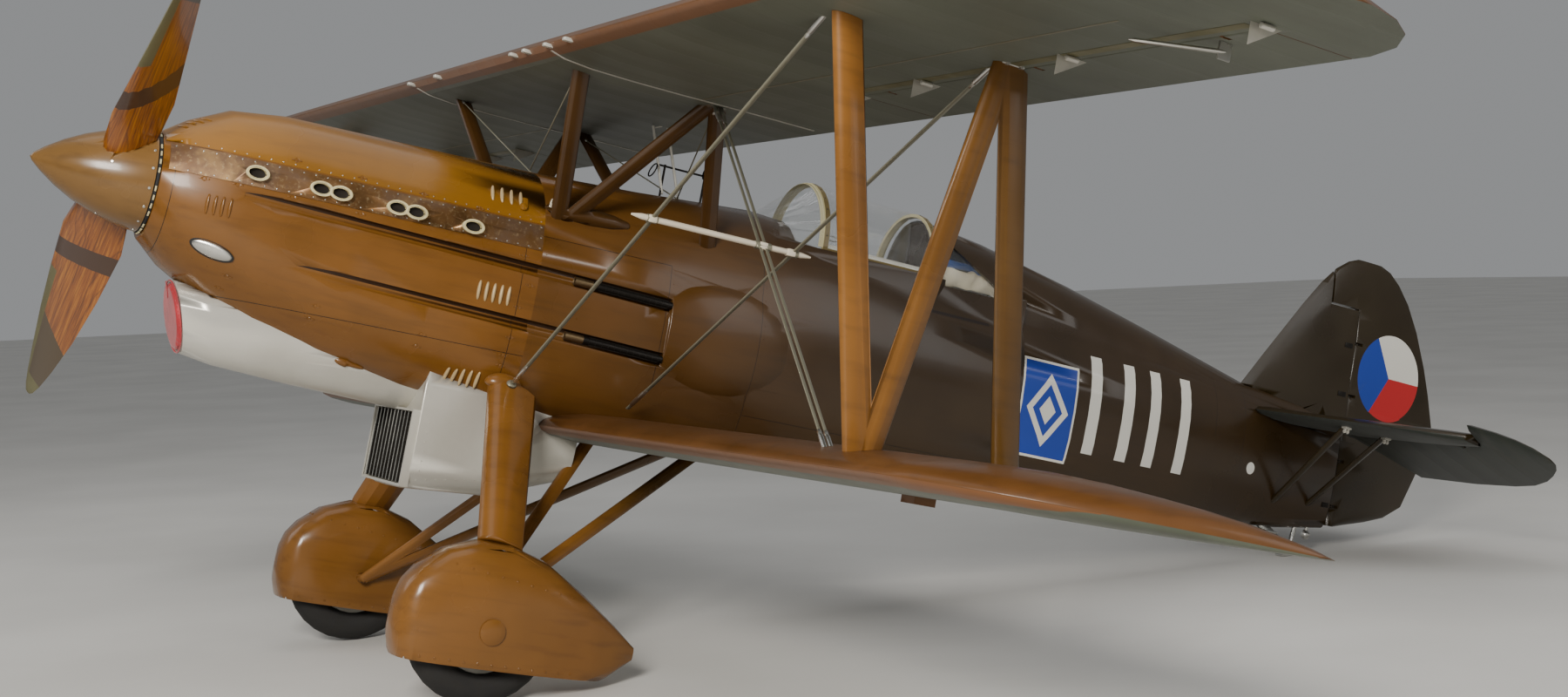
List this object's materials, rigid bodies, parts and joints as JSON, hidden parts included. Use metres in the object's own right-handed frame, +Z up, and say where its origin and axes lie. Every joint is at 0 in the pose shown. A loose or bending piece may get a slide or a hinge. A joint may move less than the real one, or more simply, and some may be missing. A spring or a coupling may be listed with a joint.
{
  "type": "biplane",
  "caption": "Single-seat biplane on a spatted wheel gear, with pointed nose, N-strutted wings, sliding canopy and braced tail, resting nose-up on its tail skid.",
  "frame": {"origin": "on the floor, under the middle of the bounding box", "axes": "+Z up, nose towards -Y, port wing (the pilot's left) towards +X"},
  "size_m": [9.3982, 7.9898, 3.2475],
  "materials": {
    "cowl_brown": "gloss paint",
    "cowl_ochre": "gloss paint",
    "heat_tinted_steel": "heat-stained",
    "duct_silver": "satin",
    "hull_brown": "gloss paint",
    "fabric_grey": "doped fabric",
    "strut_brown": "gloss paint",
    "bright_steel": "satin",
    "gunmetal": "blued",
    "cover_red": "matt",
    "blade_wood": "varnished",
    "tyre_rubber": "matt",
    "hub_metal": "satin",
    "glazing": "clear",
    "seat_leather": "worn",
    "stowed_fabric": "soft"
  },
  "bodies": {
    "airframe": {"engine_cowl": "cowl_brown", "cowl_top": "cowl_ochre", "chin_duct": "duct_silver", "intake_cover": "cover_red", "radiator": "duct_silver", "fuselage_mid": "hull_brown", "fuselage_rear": "hull_brown", "tailplane": "fabric_grey", "fin": "hull_brown", "wing_upper_centre": "fabric_grey", "instrument_panel": "gunmetal", "seat": "seat_leather", "control_column": "gunmetal", "stowed_cloth": "stowed_fabric", "gunsight": "gunmetal", "windscreen": "glazing", "tail_skid": "bright_steel", "exhaust_panel_left": "heat_tinted_steel", "wing_upper_left": "fabric_grey", "wing_lower_left": "fabric_grey", "cabane_struts_left": "strut_brown", "interplane_struts_left": "strut_brown", "stays_left": "bright_steel", "tail_strut_front_left": "strut_brown", "tail_strut_rear_left": "strut_brown", "gun_upper_left": "gunmetal", "gun_lower_left": "gunmetal", "side_window_left": "glazing", "spat_left": "strut_brown", "gear_leg_left": "strut_brown", "half_axle_left": "strut_brown", "exhaust_panel_right": "heat_tinted_steel", "wing_upper_right": "fabric_grey", "wing_lower_right": "fabric_grey", "cabane_struts_right": "strut_brown", "interplane_struts_right": "strut_brown", "stays_right": "bright_steel", "tail_strut_front_right": "strut_brown", "tail_strut_rear_right": "strut_brown", "gun_upper_right": "gunmetal", "gun_lower_right": "gunmetal", "side_window_right": "glazing", "spat_right": "strut_brown", "gear_leg_right": "strut_brown", "half_axle_right": "strut_brown"},
    "propeller": {"propeller": "blade_wood", "spinner": "cowl_brown"},
    "canopy": {"canopy_glass": "glazing", "canopy_frame": "hull_brown"},
    "elevator": {"elevator_left": "fabric_grey", "elevator_right": "fabric_grey", "elevator_tube": "bright_steel"},
    "rudder": {"rudder": "hull_brown"},
    "wheel_left": {"tyre_left": "tyre_rubber", "wheel_hub_left": "hub_metal"},
    "wheel_right": {"tyre_right": "tyre_rubber", "wheel_hub_right": "hub_metal"},
    "aileron_left": {"aileron_left": "fabric_grey"},
    "aileron_right": {"aileron_right": "fabric_grey"}
  },
  "joints": [
    {"name": "propeller_spin", "type": "hinge", "parent": "airframe", "child": "propeller", "pos_m": [0, -3.65701, 2.2792], "axis": [0, 0.9708, -0.2397], "continuous": true},
    {"name": "wheel_spin_left", "type": "hinge", "parent": "airframe", "child": "wheel_left", "pos_m": [0.925, -2.43478, 0.32523], "axis": [1, 0, 0], "continuous": true},
    {"name": "wheel_spin_right", "type": "hinge", "parent": "airframe", "child": "wheel_right", "pos_m": [-0.925, -2.43478, 0.32523], "axis": [1, 0, 0], "continuous": true},
    {"name": "aileron_turn_left", "type": "hinge", "parent": "airframe", "child": "aileron_left", "pos_m": [1.85, -1.00283, 2.50776], "axis": [1, 0, 0], "range_deg": [-20, 22]},
    {"name": "aileron_turn_right", "type": "hinge", "parent": "airframe", "child": "aileron_right", "pos_m": [-1.85, -1.00283, 2.50776], "axis": [1, 0, 0], "range_deg": [-20, 22]},
    {"name": "elevator_turn", "type": "hinge", "parent": "airframe", "child": "elevator", "pos_m": [0, 3.20309, 0.70685], "axis": [1, 0, 0], "range_deg": [-3, 48]},
    {"name": "rudder_turn", "type": "hinge", "parent": "airframe", "child": "rudder", "pos_m": [0, 3.24956, 0.57383], "axis": [0, 0.2397, 0.9708], "range_deg": [-28, 28]},
    {"name": "canopy_slide", "type": "slide", "parent": "airframe", "child": "canopy", "axis": [0, 0.9708, -0.2397], "range_m": [0, 0.55]}
  ]
}
